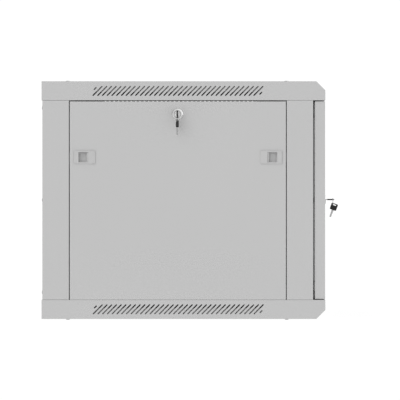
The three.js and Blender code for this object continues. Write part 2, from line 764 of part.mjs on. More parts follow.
for (const [side, hand] of Object.entries(HANDS)) {
  for (const end of ["front", "rear"]) {
    place(`post_${end}_${side}`, post(hand, end), paint);
    place(`mounting_rail_${end}_${side}`, mountingRail(hand, end), zinc);
    const y = SCREW_Y[end === "rear" ? 1 : 0];
    place(`top_screw_${end}_${side}`, capScrew(hand, y, "roof"), zinc);
    place(`bottom_screw_${end}_${side}`, capScrew(hand, y, "floor"), zinc);
  }
  for (const [level, z] of Object.entries(CROSS_Z)) {
    place(`depth_rail_${level}_${side}`, depthRail(hand, z), zinc);
  }
  place(`${side}_side_panel`, sidePanel(hand), paint);
  for (const [end, away] of [["front", -1], ["rear", 1]]) {
    const latch = new THREE.Group();
    const outward = new THREE.Vector3(hand, 0, 0);
    const up = new THREE.Vector3(0, 0, 1);
    const right = new THREE.Vector3().crossVectors(up, outward);
    latch.quaternion.setFromRotationMatrix(new THREE.Matrix4().makeBasis(right, up, outward));
    latch.position.set(hand * HALF_W, latchCentres[end], LATCH_Z);
    const towardsPost = away * hand;
    latch.add(piece(`${side}_latch_${end}_case`, latchCase(towardsPost), greyPlastic));
    latch.add(piece(`${side}_latch_${end}_bolt`, latchBolt(towardsPost), greyPlastic));
    cabinet.add(latch);
  }
  lockSet(side, SIDE_LOCK, {
    position: new THREE.Vector3(hand * HALF_W, SIDE_LOCK_Y, SIDE_LOCK_Z),
    outward: new THREE.Vector3(hand, 0, 0),
    keyTurn: 90,
    camTurn: 0,
    hanging: { ringLean: 0, spin: THREE.MathUtils.degToRad(15), lean: 0, slide: 0 },
  });
}

place("door_frame", doorFrame(), paint);
place("door_glass", doorGlass(), glass);
place("door_seal", doorSeal(), rubber);
place("hinge_pin_upper", hingePin("upper"), zinc);
place("hinge_pin_lower", hingePin("lower"), zinc);
lockSet("door", DOOR_LOCK, {
  position: new THREE.Vector3(DOOR_LOCK_X, DOOR_Y[0], DOOR_LOCK_Z),
  outward: new THREE.Vector3(0, -1, 0),
  keyTurn: 0,
  camTurn: 90,
  hanging: {
    ringLean: THREE.MathUtils.degToRad(10),
    spin: THREE.MathUtils.degToRad(12),
    lean: THREE.MathUtils.degToRad(20),
    slide: 2.8,
  },
});

export default cabinet;
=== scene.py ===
import json
import math

import bmesh
import bpy
from mathutils import Matrix, Vector


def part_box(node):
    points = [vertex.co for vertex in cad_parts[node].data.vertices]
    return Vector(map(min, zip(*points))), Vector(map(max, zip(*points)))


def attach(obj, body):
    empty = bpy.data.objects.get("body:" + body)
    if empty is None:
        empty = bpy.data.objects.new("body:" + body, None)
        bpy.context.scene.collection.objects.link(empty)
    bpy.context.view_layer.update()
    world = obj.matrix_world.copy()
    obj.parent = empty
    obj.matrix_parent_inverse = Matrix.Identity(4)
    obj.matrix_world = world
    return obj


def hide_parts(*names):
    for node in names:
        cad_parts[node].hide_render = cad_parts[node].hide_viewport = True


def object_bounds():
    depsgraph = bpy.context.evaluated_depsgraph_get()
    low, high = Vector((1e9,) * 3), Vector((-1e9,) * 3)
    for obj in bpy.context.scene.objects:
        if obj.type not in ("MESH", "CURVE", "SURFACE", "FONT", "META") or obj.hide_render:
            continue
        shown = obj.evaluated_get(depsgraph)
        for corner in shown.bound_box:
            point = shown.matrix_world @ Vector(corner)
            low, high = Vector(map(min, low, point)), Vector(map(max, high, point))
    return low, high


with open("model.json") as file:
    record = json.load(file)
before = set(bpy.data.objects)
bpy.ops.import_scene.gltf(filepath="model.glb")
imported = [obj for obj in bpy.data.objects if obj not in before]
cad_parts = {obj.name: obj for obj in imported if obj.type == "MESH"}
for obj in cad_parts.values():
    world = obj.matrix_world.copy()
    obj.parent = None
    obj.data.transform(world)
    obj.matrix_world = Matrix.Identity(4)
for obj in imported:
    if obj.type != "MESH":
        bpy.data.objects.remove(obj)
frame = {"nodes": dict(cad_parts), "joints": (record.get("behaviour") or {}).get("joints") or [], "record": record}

# Looks of a wall-mounted network rack cabinet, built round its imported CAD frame.
# The front faces -Y, and the camera looks along +X at the left side.
# Blender works in metres; lengths are written in millimetres and scaled by MM.
MM = 0.001
CAD_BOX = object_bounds()

# ------------------------------------------------------------------ sizes, in millimetres
FOLD_RADIUS = 0.45  # softened edge of the CAD nodes that stay, which are mostly folded sheet
TOUCH = 0.02  # between two pieces that meet

# keys: a bow towards +Z, its width along X, and z = 0 at its shoulder
BOW_WIDTH = 14.2
BOW_HEIGHT = 14.2
BOW_THICK = 2.8
BOW_CORNER = 1.9
NECK_WIDTH = 5.0
NECK_HEIGHT = 0.3
HOLE_WIDTH = 7.6
HOLE_HEIGHT = 2.0
HOLE_RIM = 2.1
HOLE_CORNER = 0.9
GRIP_WIDTH = 9.2
GRIP_CORNER = 1.2
GRIP_MARGIN = (1.8, 1.4)  # to the bow's lower edge and to the hole
GRIP_DEPTH = 0.35
BOW_TOP = NECK_HEIGHT + BOW_HEIGHT
BLADE_LENGTH = 15.8
BLADE_WIDTH = 4.4
BLADE_THICK = 1.8
BLADE_TIP = (0.7, 1.8)  # half width of the tip, and the length of its taper
BLADE_CUTS = (0.9, 0.5, 1.1, 0.7, 1.0)  # depth of each cut in the blade's edges
CUT_PITCH = 2.3
CUT_HALF_WIDTHS = (0.95, 0.3)  # at the blade's edge and at the cut's floor
FIRST_CUT = 3.6
GROOVE_SPAN = (0.2, 1.1)  # across the blade, from its middle line
GROOVE_DEPTH = 0.4
GROOVE_START = 1.2  # below the shoulder
KEY_OUT = 5.8  # from the panel's face to an inserted key's shoulder

# split rings
RING_RADIUS = 6.7
WIRE_RADIUS = 0.3
RING_TURNS = 2
RING_START = 180  # where the wire's ends lie, in degrees, so that they stay out of the key's hole
RING_DROP = 3.7  # ring centre from the strip that it hangs on
RING_OUT = KEY_OUT + BOW_TOP - HOLE_RIM - HOLE_HEIGHT / 2
HANG = RING_RADIUS - 0.8  # a spare key's hole rim from the ring's centre

# cam locks, in the lock's own frame: +Z out of the panel and +Y up
# head, barrel and plug are radii; rise is the head's height and length is the barrel's
LOCKS = {
    "side": {"head": 12.5, "rise": 2.5, "barrel": 9.5, "length": 15.0, "plug": 7.0},
    "door": {"head": 10.0, "rise": 2.3, "barrel": 8.0, "length": 27.0, "plug": 5.8},
}
# turn: the inserted key's roll; strip: the part of its bow that the ring hangs on;
# ring_lean, spin and lean: how the ring and the spare key hang; slide: the spare along its hole
SIDE_KEYS = {"turn": 90, "strip": (0.0, -5.75), "ring_lean": 0, "spin": 15, "lean": 0.0, "slide": 0.0}
DOOR_KEYS = {"turn": 0, "strip": (-5.75, 0.0), "ring_lean": 6, "spin": 12, "lean": 20.0, "slide": 3.3}
THREAD_PITCH = 1.0
THREAD_DEPTH = 0.3
BORE_GAP = 0.3  # between plug and bore, and between blade and keyway
HEAD_BASE = 0.2  # underside of the head
HEAD_RIM = 0.4  # upright edge below its dome
CROWN_WIDTH = 2.0  # flat ring of the head, round the bore
FACE_SINK = 0.4  # the plug's face below the head's
PLUG_TAIL = 0.5  # the plug past the barrel's end
SPIGOT_RADIUS = 3.5
SPIGOT_LENGTH = 3.0
CAM_SCREW_RADIUS = 4.8
CAM_SCREW_HEIGHT = 2.0

# panel latches: u runs towards the post, v is up and w is out of the panel
BEZEL_U = (-26.5, 19.1)
BEZEL_V = 13.8
BEZEL_W = (0.2, 1.8)
CASE_U = (-25.3, 18.9)
CASE_V = 12.4
CASE_W = (-14.5, 0.4)
CHAMBER_U = (-24.1, 17.7)
CHAMBER_V = 11.6
CHAMBER_W = (-13.3, 0.0)
WINDOW_U = (-11.9, 9.0)
WINDOW_V = 10.9
BOLT_U = (-17.6, 12.0)
BOLT_V = 11.3
BOLT_W = (-10.4, -0.4)
CUP_U = 8.7
CUP_V = 10.3
CUP_FLOOR = -7.5
TONGUE_U = (8.0, 28.7)
TONGUE_V = 10.0
TONGUE_W = (-10.0, -5.0)
TONGUE_GAP = 0.5  # round the tongue, in the case's slot
CUP_DRAFT = 0.6

# door seal, buffers and screws
SEAL_WIDTH = 8.0
SEAL_CORNER = 7.0
SEAL_CORNER_STEPS = 8
BUFFER_X = 296.2
BUFFER_WIDTH = 4.0
BUFFER_LENGTH = 10.0
BUFFER_THICK = 2.1
BUFFER_RISE = (-195.0, -175.0, 0.5, 178.0, 197.0)  # from the post's middle
HEAD_RISE = {"top": 1.4, "bottom": 1.9}
SHANK_RADIUS = 2.5
SHANK_LENGTH = 7.0
RECESS_ARMS = ((0.62, 0.17), (0.17, 0.62))  # of the head's radius
RECESS_DEPTH = 0.9
BACK_SCREW_X = 288.0
BACK_SCREW_RISE = (-195.0, 0.0, 195.0)
BACK_SCREW_RADIUS = 4.0
BACK_SCREW_DOME = 1.3
SOCKET_RADIUS = 1.4
SOCKET_FLOOR = 0.7  # from the screw's seat

# studio
FLOOR_SIZE = 60  # metres
FLOOR_DROP = 0.3  # below the lowest point
FLOOR_GLOW = 0.94
FLOOR_REFLECTED = 0.45
FLOOR_MATTE = 0.12
SKY_SEEN = 1.05
SKY_EVEN = 0.55
SKY_FRONT = 1.3
SKY_REAR = 0.25
SKY_TURN = (-1.0, 1.0)  # over which the reflected sky darkens, as the Y of its direction
SUN_WAY = (0.75, -0.45, -0.55)
SUN_STRENGTH = 1.2
SUN_SPREAD = 70  # degrees

CAMERA_DISTANCE = 6.3  # metres, from the left side panel
VIEW_WIDTH = 0.8455  # metres, what the frame spans at that panel
VIEW_CENTRE = (-0.035, 0.2515)  # Y and Z of the optical axis
SENSOR = 36.0
CAMERA_REACH = 100  # metres

PAINT = 0.50  # the powder coat's reflectance
SIDES = {"left": -1, "right": 1}
joints = {joint["name"]: joint for joint in frame["joints"]}
record_slots = {part["node"]: part["material_slot"] for part in frame["record"]["subparts"]}


# ------------------------------------------------------------------ materials
# Noise scales count cells per metre, so 1000 gives a grain of about a millimetre.
class Nodes:
    """A material's node tree, with short calls for adding and joining nodes."""

    def __init__(self, name):
        self.material = bpy.data.materials.new(name)
        self.material.use_nodes = True
        self.tree = self.material.node_tree
        self.tree.nodes.clear()
        self.place = self.add("ShaderNodeTexCoord").outputs["Object"]

    def add(self, kind, settings=None, **inputs):
        node = self.tree.nodes.new(kind)
        for key, value in (settings or {}).items():
            setattr(node, key, value)
        for key, value in inputs.items():
            self.feed(node.inputs[key.replace("_", " ")], value)
        return node

    def feed(self, socket, value):
        if isinstance(value, bpy.types.NodeSocket):
            self.tree.links.new(value, socket)
        else:
            socket.default_value = value

    def math(self, operation, a, b):
        node = self.tree.nodes.new("ShaderNodeMath")
        node.operation = operation
        self.feed(node.inputs[0], a)
        self.feed(node.inputs[1], b)
        return node.outputs[0]

    def noise(self, scale, detail=3.0, stretch=(1, 1, 1)):
        spread = self.add("ShaderNodeMapping", Vector=self.place, Scale=stretch)
        texture = self.add(
            "ShaderNodeTexNoise", Vector=spread.outputs[0], Scale=scale, Detail=detail
        )
        return texture.outputs["Fac"]

    def spread(self, value, low, high, start=0.3, end=0.7):
        """The value, remapped from start..end to low..high."""
        node = self.add("ShaderNodeMapRange", Value=value)
        for socket, number in zip(node.inputs[1:5], (start, end, low, high)):
            socket.default_value = number
        return node.outputs[0]

    def mix(self, factor, first, second):
        node = self.add("ShaderNodeMix", {"data_type": "RGBA"})
        self.feed(node.inputs["Factor"], factor)
        self.feed(node.inputs[6], first)
        self.feed(node.inputs[7], second)
        return node.outputs[2]

    def edges(self, radius, break_up):
        """How close a point is to a worn edge, from 0 to 1, broken up by a noise."""
        rounded = self.add("ShaderNodeBevel", {"samples": 4}, Radius=radius)
        surface = self.add("ShaderNodeNewGeometry")
        facing = self.add("ShaderNodeVectorMath", {"operation": "DOT_PRODUCT"})
        self.feed(facing.inputs[0], rounded.outputs[0])
        self.feed(facing.inputs[1], surface.outputs["Normal"])
        near = self.spread(facing.outputs["Value"], 1.0, 0.0, 0.75, 0.995)
        return self.math("MULTIPLY", near, self.spread(break_up, 0.0, 1.0, 0.35, 0.65))

    def bump(self, height, distance, strength=1.0):
        node = self.add("ShaderNodeBump", Height=height, Distance=distance, Strength=strength)
        return node.outputs[0]

    def output(self, shader):
        out = self.add("ShaderNodeOutputMaterial")
        self.tree.links.new(shader, out.inputs["Surface"])
        return self.material


def grey(value, warmth=0.0):
    return (value * (1 + warmth), value, value * (1 - warmth), 1.0)


def powder_coat():
    """Light grey fine-textured powder coat, slightly rubbed along its folds."""
    n = Nodes("grey_powder_coat")
    cloud = n.noise(3.5, 4)
    peel = n.noise(700, 2)
    grain = n.noise(2600, 2)
    base = n.mix(n.spread(cloud, 0, 1), grey(PAINT - 0.004), grey(PAINT + 0.004))
    speckled = n.mix(n.spread(grain, 0, 0.25, 0.45, 0.7), base, grey(PAINT * 1.12))
    worn = n.edges(0.9 * MM, n.noise(90, 4))
    colour = n.mix(n.math("MULTIPLY", worn, 0.35), speckled, grey(PAINT * 1.25))
    height = n.math("ADD", peel, n.math("MULTIPLY", grain, 0.35))
    shader = n.add(
        "ShaderNodeBsdfPrincipled",
        Base_Color=colour,
        Roughness=n.spread(cloud, 0.50, 0.60),
        Specular_IOR_Level=0.28,
        Normal=n.bump(height, 0.05 * MM, 0.4),
    )
    return n.output(shader.outputs[0])


def metal(name, value, roughness, share=1.0, stretch=(1, 1, 1), grain=900):
    """Plated or brushed metal: share is its mirror-like part, stretch draws its grain out."""
    n = Nodes(name)
    streak = n.noise(grain, 3, stretch)
    cloud = n.noise(25, 3)
    base = n.mix(n.spread(cloud, 0, 1), grey(value * 0.94), grey(value))
    worn = n.edges(0.5 * MM, streak)
    colour = n.mix(n.math("MULTIPLY", worn, 0.5), base, grey(min(1, value * 1.25)))
    rough = n.math("ADD", n.spread(streak, roughness * 0.8, roughness * 1.25), n.spread(cloud, 0, 0.05))
    shader = n.add(
        "ShaderNodeBsdfPrincipled",
        Base_Color=colour,
        Metallic=share,
        Roughness=rough,
        Normal=n.bump(streak, 0.01 * MM, 0.5),
    )
    return n.output(shader.outputs[0])


def plastic(name, value, roughness, gloss, grain_depth=0.03):
    """Moulded plastic with a fine spark-eroded grain and lighter worn edges."""
    n = Nodes(name)
    cloud = n.noise(60, 3)
    grain = n.noise(3200, 2)
    base = n.mix(n.spread(cloud, 0, 1), grey(value * 0.96), grey(value * 1.04))
    worn = n.edges(0.4 * MM, n.noise(400, 3))
    colour = n.mix(n.math("MULTIPLY", worn, 0.3), base, grey(min(1, value * 1.3 + 0.01)))
    shader = n.add(
        "ShaderNodeBsdfPrincipled",
        Base_Color=colour,
        Roughness=n.spread(cloud, roughness * 0.9, roughness * 1.15),
        Specular_IOR_Level=gloss,
        Normal=n.bump(grain, grain_depth * MM, 0.7),
    )
    return n.output(shader.outputs[0])


def foam_rubber(name, value):
    """Dull cellular rubber, dusty in places."""
    n = Nodes(name)
    cells = n.add("ShaderNodeTexVoronoi", Vector=n.place, Scale=1400.0).outputs["Distance"]
    dust = n.noise(120, 5)
    clean = n.mix(n.spread(cells, 0, 0.5, 0.2, 0.6), grey(value * 0.9), grey(value * 1.1))
    colour = n.mix(n.spread(dust, 0, 0.5, 0.5, 0.8), clean, grey(value * 1.2 + 0.02, 0.03))
    worn = n.edges(0.6 * MM, dust)
    colour = n.mix(n.math("MULTIPLY", worn, 0.3), colour, grey(value * 1.3 + 0.03))
    shader = n.add(
        "ShaderNodeBsdfPrincipled",
        Base_Color=colour,
        Roughness=n.spread(dust, 0.82, 0.95),
        Normal=n.bump(cells, 0.12 * MM),
    )
    return n.output(shader.outputs[0])


def tinted_glass():
    """Smoke-tinted toughened glass with faint smears."""
    n = Nodes("door_glass")
    smear = n.noise(9, 5, (1, 1, 0.3))
    tint = n.mix(n.spread(smear, 0, 1), (0.20, 0.225, 0.23, 1), (0.24, 0.265, 0.27, 1))
    clear = n.add("ShaderNodeBsdfTransparent", Color=tint)
    gloss = n.add(
        "ShaderNodeBsdfPrincipled",
        Base_Color=(0.02, 0.025, 0.026, 1),
        Roughness=n.spread(smear, 0.03, 0.10),
        Normal=n.bump(n.noise(4, 2), 0.02 * MM),
    )
    facing = n.add("ShaderNodeFresnel", IOR=1.5)
    share = n.math("ADD", facing.outputs[0], 0.06)
    both = n.add("ShaderNodeMixShader")
    n.feed(both.inputs[0], share)
    n.feed(both.inputs[1], clear.outputs[0])
    n.feed(both.inputs[2], gloss.outputs[0])
    return n.output(both.outputs[0])


paints = {
    "grey_paint": powder_coat(),
    "zinc_steel": metal("zinc_plate", 0.62, 0.36, grain=350),
    "chrome": metal("chrome_plate", 0.88, 0.10, grain=1500),
    "nickel": metal("nickel_plate", 0.88, 0.24, 0.5, (1, 1, 0.1), 1800),
    "grey_plastic": plastic("grey_plastic", 0.49, 0.5, 0.4),
    "black_plastic": plastic("black_plastic", 0.012, 0.5, 0.3),
    "seal_rubber": foam_rubber("seal_rubber", 0.42),
    "door_glass": tinted_glass(),
}
buffer_rubber = foam_rubber("buffer_rubber", 0.02)


def paint(piece, slot):
    piece.data.materials.clear()
    piece.data.materials.append(paints[slot])
    return piece


# ------------------------------------------------------------------ outlines, in millimetres
def arc(centre, radius, start, turn=90, steps=5):
    """Points round a centre, from an angle and through a turn, both in degrees."""
    angles = [math.radians(start + turn * i / steps) for i in range(steps + 1)]
    return [(centre[0] + radius * math.cos(a), centre[1] + radius * math.sin(a)) for a in angles]


def rounded_box(across, up, low_corner, high_corner=None, steps=5):
    """A rectangle's outline with rounded corners, anticlockwise from its lower left."""
    high_corner = low_corner if high_corner is None else high_corner
    (left, right), (low, high) = across, up
    a, b = low_corner, high_corner
    return (
        arc((left + a, low + a), a, 180, steps=steps)
        + arc((right - a, low + a), a, 270, steps=steps)
        + arc((right - b, high - b), b, 0, steps=steps)
        + arc((left + b, high - b), b, 90, steps=steps)
    )


def either_side(half):
    return (-half, half)


def turn_steps(turn, steps):
    """Evenly spaced angles from 0 through a turn in degrees, as radians."""
    return [math.radians(turn) * i / steps for i in range(steps + 1)]


def hexagon(radius):
    return [(radius * math.cos(a), radius * math.sin(a)) for a in turn_steps(360, 6)[:6]]


def threaded(radius, start, end):
    """The (r, z) profile of a threaded rod, as fine ridges."""
    count = 4 * round(abs(end - start) / THREAD_PITCH)
    points = []
    for i in range(count + 1):
        z = start + (end - start) * i / count
        ridge = (1 + math.cos(math.pi / 2 * i)) / 2
        points.append((radius - THREAD_DEPTH * ridge, z))
    return points


# ------------------------------------------------------------------ meshes
def skin(name, rings, closed=False):
    """A surface over rings of points in millimetres. Its ends are flat, or joined if closed."""
    mesh = bmesh.new()
    rows = [[mesh.verts.new(Vector(point) * MM) for point in ring] for ring in rings]
    pairs = list(zip(rows, rows[1:]))
    if closed:
        pairs.append((rows[-1], rows[0]))
    else:
        mesh.faces.new(reversed(rows[0]))
        mesh.faces.new(rows[-1])
    for low, high in pairs:
        for i in range(len(low)):
            j = (i + 1) % len(low)
            mesh.faces.new((low[i], low[j], high[j], high[i]))
    bmesh.ops.recalc_face_normals(mesh, faces=mesh.faces)
    data = bpy.data.meshes.new(name)
    mesh.to_mesh(data)
    mesh.free()
    piece = bpy.data.objects.new(name, data)
    bpy.context.scene.collection.objects.link(piece)
    return piece


def slab(name, outline, low, high):
    """An outline in X and Y, extruded along Z."""
    return skin(name, [[(x, y, z) for x, y in outline] for z in (low, high)])


def upright_slab(name, outline, low, high):
    """An outline in X and Z, extruded along Y."""
    return skin(name, [[(x, y, z) for x, z in outline] for y in (low, high)])


def lathe(name, profile, closed=False, steps=48):
    """A profile of (r, z) points, turned round Z."""
    angles = [2 * math.pi * i / steps for i in range(steps)]
    rings = [[(r * math.cos(a), r * math.sin(a), z) for a in angles] for r, z in profile]
    return skin(name, rings, closed)


def apply_modifiers(piece):
    bpy.context.view_layer.update()
    shown = piece.evaluated_get(bpy.context.evaluated_depsgraph_get())
    data = bpy.data.meshes.new_from_object(shown)
    piece.modifiers.clear()
    piece.data = data
    return piece


def combine(piece, operation, others):
    for other in others:
        boolean = piece.modifiers.new("boolean", "BOOLEAN")
        boolean.operation = operation
        boolean.solver = "EXACT"
        boolean.object = other
    apply_modifiers(piece)
    for other in others:
        bpy.data.objects.remove(other)
    return piece


def carve(piece, *cutters):
    return combine(piece, "DIFFERENCE", cutters)


def add_on(piece, *others):
    return combine(piece, "UNION", others)


def round_edges(piece, radius, angle=35, segments=3):
    """Rounds the sharp edges, with a radius in millimetres, and shades the rest smooth."""
    bevel = piece.modifiers.new("bevel", "BEVEL")
    bevel.width = radius * MM
    bevel.segments = segments
    bevel.limit_method = "ANGLE"
    bevel.angle_limit = math.radians(angle)
    bevel.use_clamp_overlap = True
    even = piece.modifiers.new("even", "WEIGHTED_NORMAL")
    even.keep_sharp = False
    piece.data.shade_smooth()
    return piece


def settle(piece, place, body, slot, *replaced):
    """Puts a finished piece in its place, on its body, in its material."""
    piece.data.transform(place)
    if place.determinant() < 0:
        piece.data.flip_normals()
    paint(piece, slot)
    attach(piece, body)
    if replaced:
        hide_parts(*replaced)
    return piece


def shift(x, y, z):
    return Matrix.Translation(Vector((x, y, z)) * MM)


# ------------------------------------------------------------------ keys
def key_bow(name):
    """The moulded bow, with its ring hole and a shallow grip panel on each face."""
    half = BOW_WIDTH / 2
    neck = NECK_WIDTH / 2
    corner = BOW_CORNER
    low, high = NECK_HEIGHT, BOW_TOP
    outline = [(-neck, 0), (neck, 0), (neck, low)]
    outline += arc((half - corner, low + corner), corner, 270)
    outline += arc((half - corner, high - corner), corner, 0)
    outline += arc((corner - half, high - corner), corner, 90)
    outline += arc((corner - half, low + corner), corner, 180)
    outline += [(-neck, low)]
    bow = upright_slab(name, outline, -BOW_THICK / 2, BOW_THICK / 2)
    hole_top = high - HOLE_RIM
    hole_low = hole_top - HOLE_HEIGHT
    hole = rounded_box(either_side(HOLE_WIDTH / 2), (hole_low, hole_top), HOLE_CORNER)
    grip_span = (low + GRIP_MARGIN[0], hole_low - GRIP_MARGIN[1])
    grip = rounded_box(either_side(GRIP_WIDTH / 2), grip_span, GRIP_CORNER)
    grip_floor = BOW_THICK / 2 - GRIP_DEPTH
    carve(
        bow,
        upright_slab("cutter", hole, -BOW_THICK, BOW_THICK),
        upright_slab("cutter", grip, grip_floor, BOW_THICK),
        upright_slab("cutter", grip, -BOW_THICK, -grip_floor),
    )
    return round_edges(bow, 0.4)


def key_blade(name):
    """The plated blade, cut on both edges and milled with a groove on each face."""
    half = BLADE_WIDTH / 2
    tip_half, tip = BLADE_TIP
    mouth, floor = CUT_HALF_WIDTHS
    edge = [(half, -TOUCH)]
    for i, depth in enumerate(BLADE_CUTS):
        z = -FIRST_CUT - i * CUT_PITCH
        deep = half - depth
        edge += [(half, z + mouth), (deep, z + floor), (deep, z - floor), (half, z - mouth)]
    edge += [(half, tip - BLADE_LENGTH), (tip_half, -BLADE_LENGTH)]
    outline = edge + [(-x, z) for x, z in reversed(edge)]
    blade = upright_slab(name, outline, -BLADE_THICK / 2, BLADE_THICK / 2)
    groove_floor = BLADE_THICK / 2 - GROOVE_DEPTH
    length = (-BLADE_LENGTH - 1, -GROOVE_START)
    near, far = GROOVE_SPAN
    carve(
        blade,
        upright_slab("cutter", rounded_box((near, far), length, 0.3), groove_floor, BLADE_THICK),
        upright_slab("cutter", rounded_box((-far, -near), length, 0.3), -BLADE_THICK, -groove_floor),
    )
    return round_edges(blade, 0.12, segments=2)


def split_ring(name):
    """Two touching turns of springy wire, with flat ends."""
    steps = 36
    sides = 8
    pitch = 2 * WIRE_RADIUS + TOUCH
    rings = []
    for i in range(RING_TURNS * steps + 1):
        angle = 2 * math.pi * i / steps + math.radians(RING_START)
        rise = pitch * (i / steps - RING_TURNS / 2)
        ring = []
        for k in range(sides):
            around = 2 * math.pi * k / sides
            r = RING_RADIUS + WIRE_RADIUS * math.cos(around)
            ring.append((r * math.cos(angle), r * math.sin(angle), rise + WIRE_RADIUS * math.sin(around)))
        rings.append(ring)
    ring = skin(name, rings)
    ring.data.shade_smooth()
    return ring


# ------------------------------------------------------------------ cam locks
def lock_frame(prefix):
    """The lock's own frame: the panel's face at z = 0, +Z out of it and +Y up."""
    joint = joints[f"{prefix}_lock_turn"]
    outward = Vector(joint["axis"])
    up = Vector((0, 0, 1))
    place = Matrix((up.cross(outward), up, outward)).transposed().to_4x4()
    place.translation = Vector(joint["pos_m"])
    return place


def lock_housing(name, lock):
    """A domed chrome head on a threaded barrel, bored for the plug."""
    bore = lock["plug"] + BORE_GAP
    crown = bore + CROWN_WIDTH
    back = -lock["length"]
    dome_foot = HEAD_BASE + HEAD_RIM
    dome_reach = lock["head"] - crown
    dome_height = lock["rise"] - dome_foot
    profile = [(bore, back), (lock["barrel"] - THREAD_DEPTH, back)]
    profile += threaded(lock["barrel"], back + 0.3, -1.0)
    profile += [(lock["barrel"], -0.8), (lock["barrel"], HEAD_BASE), (lock["head"], HEAD_BASE)]
    profile += [
        (crown + dome_reach * math.cos(a), dome_foot + dome_height * math.sin(a))
        for a in turn_steps(90, 10)
    ]
    profile += [(bore + 0.25, lock["rise"]), (bore, lock["rise"] - 0.25)]
    housing = lathe(name, profile, closed=True, steps=64)
    housing.data.shade_smooth()
    even = housing.modifiers.new("even", "WEIGHTED_NORMAL")
    even.keep_sharp = False
    return housing


def lock_plug(name, lock, turn):
    """The plug with its dished face, keyway and cam spigot."""
    radius = lock["plug"]
    face = lock["rise"] - FACE_SINK
    back = -lock["length"] - PLUG_TAIL
    spigot_end = back - SPIGOT_LENGTH
    profile = [
        (SPIGOT_RADIUS - 0.4, spigot_end),
        (SPIGOT_RADIUS, spigot_end + 0.4),
        (SPIGOT_RADIUS, back),
        (radius, back),
        (radius, face - 0.35),
        (radius - 0.35, face),
        (radius - 0.9, face),
        (radius - 1.1, face - 0.2),
        (1.0, face - 0.25),
    ]
    plug = lathe(name, profile, steps=48)
    width, height = BLADE_WIDTH / 2 + BORE_GAP, BLADE_THICK / 2 + BORE_GAP
    keyway = rounded_box(either_side(width), either_side(height), 0.25, steps=2)
    cutter = slab("cutter", keyway, KEY_OUT - BLADE_LENGTH - 0.6, lock["rise"] + 1)
    cutter.data.transform(Matrix.Rotation(math.radians(turn), 4, "Z"))
    carve(plug, cutter)
    return round_edges(plug, 0.12, segments=2)


def cam_screw(name, lock):
    """The hexagon-headed screw that holds the cam on its spigot."""
    under = -lock["length"] - PLUG_TAIL - SPIGOT_LENGTH
    head = slab(name, hexagon(CAM_SCREW_RADIUS), under - CAM_SCREW_HEIGHT, under - TOUCH)
    return round_edges(head, 0.3)


def lean_out(degrees):
    """Swings whatever hangs below a point outwards."""
    return Matrix.Rotation(math.radians(-degrees), 4, "X")


def ring_place(keys):
    """The split ring's frame in the lock's, hung on the inserted key's strip."""
    across, up = keys["strip"]
    return shift(across, up, RING_OUT) @ lean_out(keys["ring_lean"]) @ shift(0, -RING_DROP, 0)


def spare_place(keys):
    """The spare key's frame in the lock's, hung by its hole on the split ring."""
    spin = math.radians(keys["spin"])
    along = Vector((math.sin(spin), 0, math.cos(spin)))
    normal = Vector((math.cos(spin), 0, -math.sin(spin)))
    upright = Matrix((along, normal, Vector((0, 1, 0)))).transposed().to_4x4()
    upright.translation = (along * keys["slide"] + Vector((0, HOLE_RIM - BOW_TOP, 0))) * MM
    return ring_place(keys) @ shift(0, -HANG, 0) @ lean_out(-keys["ring_lean"] - keys["lean"]) @ upright


def lock_set(prefix, panel_body, lock, keys):
    """A lock in its panel, its inserted key, and the spare that hangs on the split ring."""
    place = lock_frame(prefix)
    body = f"{prefix}_lock"
    spare_body = f"{prefix}_spare"
    turned = place @ Matrix.Rotation(math.radians(keys["turn"]), 4, "Z") @ shift(0, 0, KEY_OUT)
    hung = place @ spare_place(keys)
    housing = f"{prefix}_lock_housing"
    plug = f"{prefix}_lock_plug"
    key = f"{prefix}_key"
    spare = f"{prefix}_spare_key"
    ring = f"{prefix}_key_ring"
    settle(lock_housing(f"{housing}_fine", lock), place, panel_body, "chrome", housing)
    settle(lock_plug(f"{plug}_fine", lock, keys["turn"]), place, body, "nickel", plug)
    settle(cam_screw(f"{prefix}_cam_screw", lock), place, body, "zinc_steel")
    settle(key_bow(f"{key}_bow"), turned, body, "black_plastic", key)
    settle(key_blade(f"{key}_blade"), turned, body, "zinc_steel")
    settle(key_bow(f"{spare}_bow"), hung, spare_body, "black_plastic", spare)
    settle(key_blade(f"{spare}_blade"), hung, spare_body, "zinc_steel")
    settle(split_ring(f"{ring}_fine"), place @ ring_place(keys), spare_body, "nickel", ring)


# ------------------------------------------------------------------ panel latches
def latch_case(name):
    """The fixed case: a chamber behind a bezel with a finger window."""
    bezel = slab(name, rounded_box(BEZEL_U, either_side(BEZEL_V), 1.6), *BEZEL_W)
    add_on(bezel, slab("tray", rounded_box(CASE_U, either_side(CASE_V), 0.8), *CASE_W))
    slot_v = either_side(TONGUE_V + TONGUE_GAP)
    slot_w = (TONGUE_W[0] - TONGUE_GAP, TONGUE_W[1] + TONGUE_GAP)
    carve(
        bezel,
        slab("cutter", rounded_box(CHAMBER_U, either_side(CHAMBER_V), 0.5), *CHAMBER_W),
        slab("cutter", rounded_box(WINDOW_U, either_side(WINDOW_V), 0.6), -1, BEZEL_W[1] + 1),
        slab("cutter", rounded_box((CHAMBER_U[1] - 1, CASE_U[1] + 1), slot_v, 0.3), *slot_w),
    )
    return round_edges(bezel, 0.25)


